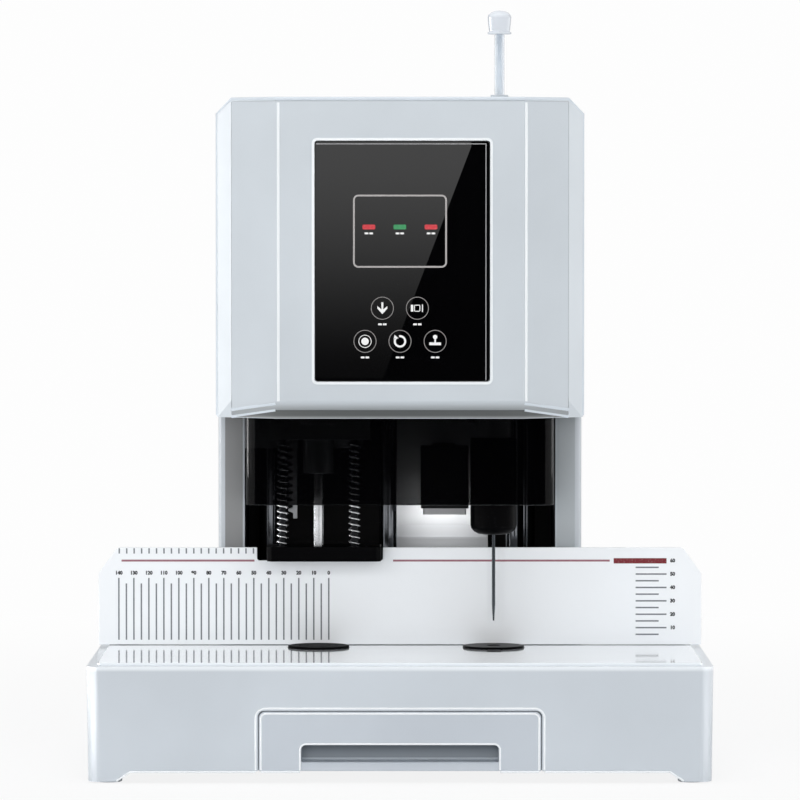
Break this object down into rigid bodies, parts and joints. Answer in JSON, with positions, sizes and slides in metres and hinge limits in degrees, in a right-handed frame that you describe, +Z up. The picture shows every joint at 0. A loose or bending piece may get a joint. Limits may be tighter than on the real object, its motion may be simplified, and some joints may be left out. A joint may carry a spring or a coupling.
{
  "type": "document riveting machine",
  "caption": "Desk machine that drills a paper stack and rivets it with hot-pressed nylon tube, with fence, guard, glass panel, chip drawer and moving drill and rivet units.",
  "frame": {"origin": "on the desk, under the middle of the base", "axes": "+Z up, -Y the front where the operator sits, +X to the right as the front is seen"},
  "size_m": [0.4, 0.35, 0.496],
  "materials": {
    "base_paint": "satin paint",
    "drawer_paint": "satin moulding",
    "bare_steel": "zinc plated",
    "rubber": "matt pale rubber",
    "table_white": "glossy laminate",
    "fence_white": "gloss paint with printed scales",
    "pad_plastic": "matt nylon",
    "die_black": "black coating",
    "black_steel": "black powder coat",
    "column_chrome": "ground and chromed",
    "head_paint": "satin paint",
    "cover_paint": "satin paint",
    "cheek_paint": "satin paint",
    "lip_plastic": "matt moulding",
    "guard_plastic": "smoked clear sheet",
    "panel_glass": "black printed glass",
    "inner_white": "satin paint",
    "lamp_plastic": "matt moulding",
    "aluminium": "machined",
    "bronze": "turned bronze",
    "motor_steel": "plated can",
    "belt_rubber": "flat belt",
    "spindle_steel": "ground steel",
    "bit_steel": "ground hollow bit",
    "foot_black": "black anodised",
    "rod_chrome": "ground rod",
    "spring_steel": "bright wire",
    "head_black": "black heat-proof coating",
    "needle_steel": "dark ground needle",
    "guide_plastic": "pale matt moulding",
    "tube_nylon": "clear nylon",
    "cap_plastic": "milky moulding",
    "board": "green circuit board",
    "coil_copper": "wound core",
    "inlet_plastic": "matt moulding",
    "rocker_plastic": "gloss moulding"
  },
  "bodies": {
    "machine": {"base_shell": "base_paint", "base_plate": "bare_steel", "foot_front_left": "rubber", "foot_front_right": "rubber", "foot_rear_left": "rubber", "foot_rear_right": "rubber", "worktable": "table_white", "fence": "fence_white", "drill_pad": "pad_plastic", "lower_die": "die_black", "bed_plate": "black_steel", "frame_side_left": "black_steel", "frame_side_right": "black_steel", "frame_rear": "black_steel", "frame_top": "black_steel", "drill_column_front": "column_chrome", "drill_column_rear": "column_chrome", "rivet_column_front": "column_chrome", "rivet_column_rear": "column_chrome", "head_casing": "head_paint", "rear_cover": "head_paint", "front_cover": "cover_paint", "column_left": "cheek_paint", "column_right": "cheek_paint", "throat_lip": "lip_plastic", "guard": "guard_plastic", "touch_panel": "panel_glass", "centre_cover": "inner_white", "work_lamp": "lamp_plastic", "feed_motor": "motor_steel", "rivet_motor": "motor_steel", "tube_guide": "guide_plastic", "control_board": "board", "transformer": "coil_copper", "power_inlet": "inlet_plastic"},
    "drill_unit": {"drill_carriage": "aluminium", "drill_motor": "motor_steel", "drive_belt": "belt_rubber", "drill_rack": "bare_steel", "drill_bush": "bronze", "presser_spring_left": "spring_steel", "presser_spring_right": "spring_steel"},
    "spindle": {"drill_spindle": "spindle_steel", "drill_bit": "bit_steel"},
    "motor_wheel": {"motor_pulley": "aluminium"},
    "presser": {"presser_foot": "foot_black", "presser_rod_left": "rod_chrome", "presser_rod_right": "rod_chrome"},
    "pinion": {"feed_pinion": "bare_steel"},
    "rivet_unit": {"rivet_carriage": "aluminium", "rivet_head": "head_black", "rivet_bush": "bronze"},
    "screw": {"rivet_screw": "bare_steel"},
    "needle": {"guide_needle": "needle_steel"},
    "tube": {"tube_stock": "tube_nylon", "push_cap": "cap_plastic"},
    "drawer": {"drawer_front": "drawer_paint", "drawer_tray": "bare_steel"},
    "rocker": {"power_rocker": "rocker_plastic"}
  },
  "joints": [
    {"name": "drill_feed", "type": "slide", "parent": "machine", "child": "drill_unit", "axis": [0, 0, -1], "range_m": [0, 0.0558]},
    {"name": "drill_spin", "type": "hinge", "parent": "drill_unit", "child": "spindle", "pos_m": [-0.0537, -0.045, 0.32], "axis": [0, 0, 1], "continuous": true},
    {"name": "motor_spin", "type": "hinge", "parent": "drill_unit", "child": "motor_wheel", "pos_m": [-0.043, 0.03, 0.32], "axis": [0, 0, 1], "continuous": true},
    {"name": "presser_slide", "type": "slide", "parent": "drill_unit", "child": "presser", "axis": [0, 0, 1], "range_m": [0, 0.045], "stiffness_N_per_m": 600, "springref_m": -0.02, "deforming": ["presser_spring_left", "presser_spring_right"]},
    {"name": "pinion_turn", "type": "hinge", "parent": "machine", "child": "pinion", "pos_m": [-0.085, -0.0045, 0.224], "axis": [0, 1, 0], "range_deg": [0, 267]},
    {"name": "rivet_feed", "type": "slide", "parent": "machine", "child": "rivet_unit", "axis": [0, 0, -1], "range_m": [0, 0.072]},
    {"name": "screw_turn", "type": "hinge", "parent": "machine", "child": "screw", "pos_m": [0.045, 0.031, 0.3], "axis": [0, 0, 1], "range_deg": [0, 1297]},
    {"name": "needle_lift", "type": "slide", "parent": "rivet_unit", "child": "needle", "axis": [0, 0, 1], "range_m": [0, 0.04]},
    {"name": "tube_feed", "type": "slide", "parent": "machine", "child": "tube", "axis": [0, 0, -1], "range_m": [0, 0.035]},
    {"name": "drawer_slide", "type": "slide", "parent": "machine", "child": "drawer", "axis": [0, -1, 0], "range_m": [0, 0.13]},
    {"name": "rocker_tilt", "type": "hinge", "parent": "machine", "child": "rocker", "pos_m": [-0.0885, 0.1668, 0.118], "axis": [1, 0, 0], "range_deg": [0, 16]}
  ],
  "couplings": [
    {"joint": "motor_spin", "follows": "drill_spin", "ratio": 1.5},
    {"joint": "pinion_turn", "follows": "drill_feed", "rad_per_m": 83.333},
    {"joint": "screw_turn", "follows": "rivet_feed", "rad_per_m": 314.16}
  ]
}
